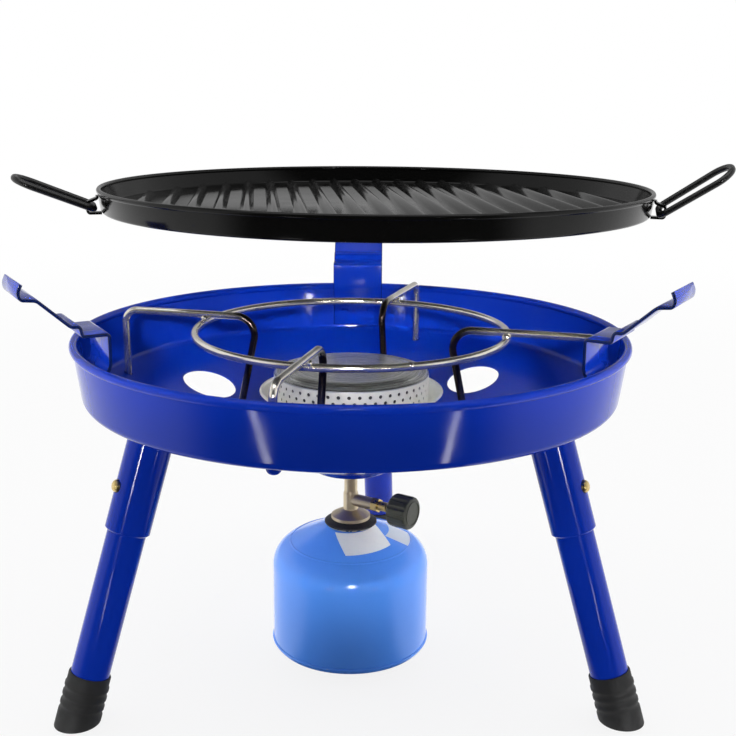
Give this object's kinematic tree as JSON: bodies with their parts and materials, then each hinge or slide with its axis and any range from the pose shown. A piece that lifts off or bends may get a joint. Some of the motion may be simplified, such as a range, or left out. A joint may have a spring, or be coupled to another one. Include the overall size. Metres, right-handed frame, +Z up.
{
  "type": "camping gas stove",
  "caption": "Three-legged camping gas stove with a fire bowl, wire trivet, perforated burner, screw-on cartridge and a ribbed griddle pan lifted above its supports.",
  "frame": {"origin": "on the ground under the fire bowl's axis", "axes": "+Z up along the bowl's axis, -Y towards the user, +X to the user's right"},
  "size_m": [0.4305, 0.4071, 0.3501],
  "materials": {
    "blue_enamel": "gloss enamel",
    "spring_steel": "spring steel",
    "brass": "turned brass",
    "black_rubber": "moulded rubber",
    "bright_wire": "nickel plated wire",
    "burner_steel": "pressed stainless sheet",
    "plated_steel": "zinc plated",
    "knob_plastic": "moulded, fluted",
    "cartridge_paint": "gloss paint, one blank label field",
    "black_coating": "satin non-stick coating"
  },
  "bodies": {
    "stove": {"fire_bowl": "blue_enamel", "pan_support_rear": "blue_enamel", "pan_support_left": "blue_enamel", "pan_support_right": "blue_enamel", "leg_socket_rear": "blue_enamel", "leg_socket_left": "blue_enamel", "leg_socket_right": "blue_enamel", "leg_tube_rear": "blue_enamel", "leg_tube_left": "blue_enamel", "leg_tube_right": "blue_enamel", "leg_spring_rear": "spring_steel", "leg_spring_left": "spring_steel", "leg_spring_right": "spring_steel", "foot_cap_rear": "black_rubber", "foot_cap_left": "black_rubber", "foot_cap_right": "black_rubber", "burner_dish": "burner_steel", "burner_band": "burner_steel", "burner_cap": "burner_steel", "mixing_tube": "burner_steel", "lock_nut": "plated_steel", "gas_jet": "brass", "valve_body": "brass", "gland_nut": "brass", "spindle_seal": "black_rubber", "cartridge_seal": "black_rubber", "inlet_gasket": "black_rubber", "depressor_pin": "plated_steel"},
    "pan": {"griddle_pan": "black_coating", "handle_eye_right": "black_coating", "handle_eye_left": "black_coating"},
    "handle_right": {"pan_handle_right": "black_coating"},
    "handle_left": {"pan_handle_left": "black_coating"},
    "trivet": {"trivet_ring": "bright_wire", "trivet_bar_1": "bright_wire", "trivet_bar_2": "bright_wire", "trivet_bar_3": "bright_wire", "trivet_bar_4": "bright_wire"},
    "knob": {"valve_knob": "knob_plastic", "valve_spindle": "plated_steel"},
    "cartridge": {"cartridge_can": "cartridge_paint", "cartridge_valve": "plated_steel"},
    "button_rear": {"snap_button_rear": "brass"},
    "button_left": {"snap_button_left": "brass"},
    "button_right": {"snap_button_right": "brass"}
  },
  "joints": [
    {"name": "pan_lift", "type": "slide", "parent": "stove", "child": "pan", "axis": [0.2342, 0, 0.9722], "range_m": [-0.0653, 0.05]},
    {"name": "handle_right_fold", "type": "hinge", "parent": "pan", "child": "handle_right", "pos_m": [0.18777, -0.05273, 0.32084], "axis": [-0.1748, -0.9694, -0.1724], "range_deg": [-84, 31]},
    {"name": "handle_left_fold", "type": "hinge", "parent": "pan", "child": "handle_left", "pos_m": [-0.15522, -0.05872, 0.32084], "axis": [-0.3033, 0.9512, 0.0566], "range_deg": [-72, 43]},
    {"name": "trivet_lift", "type": "slide", "parent": "stove", "child": "trivet", "axis": [0, 0, 1], "range_m": [0, 0.06]},
    {"name": "knob_turn", "type": "hinge", "parent": "stove", "child": "knob", "pos_m": [0, 0, 0.112], "axis": [0.848, -0.5299, 0], "range_deg": [0, 540]},
    {"name": "cartridge_turn", "type": "hinge", "parent": "stove", "child": "cartridge", "pos_m": [0, 0, 0.05], "axis": [0, 0, 1], "range_deg": [0, 1980]},
    {"name": "button_rear_press", "type": "slide", "parent": "stove", "child": "button_rear", "axis": [-0.0997, -0.9485, -0.3007], "range_m": [0, 0.0048], "stiffness_N_per_m": 800, "springref_m": -0.004, "deforming": ["leg_spring_rear"]},
    {"name": "button_left_press", "type": "slide", "parent": "stove", "child": "button_left", "axis": [0.8088, 0.5054, -0.3007], "range_m": [0, 0.0048], "stiffness_N_per_m": 800, "springref_m": -0.004, "deforming": ["leg_spring_left"]},
    {"name": "button_right_press", "type": "slide", "parent": "stove", "child": "button_right", "axis": [-0.8421, 0.4477, -0.3007], "range_m": [0, 0.0048], "stiffness_N_per_m": 800, "springref_m": -0.004, "deforming": ["leg_spring_right"]}
  ]
}
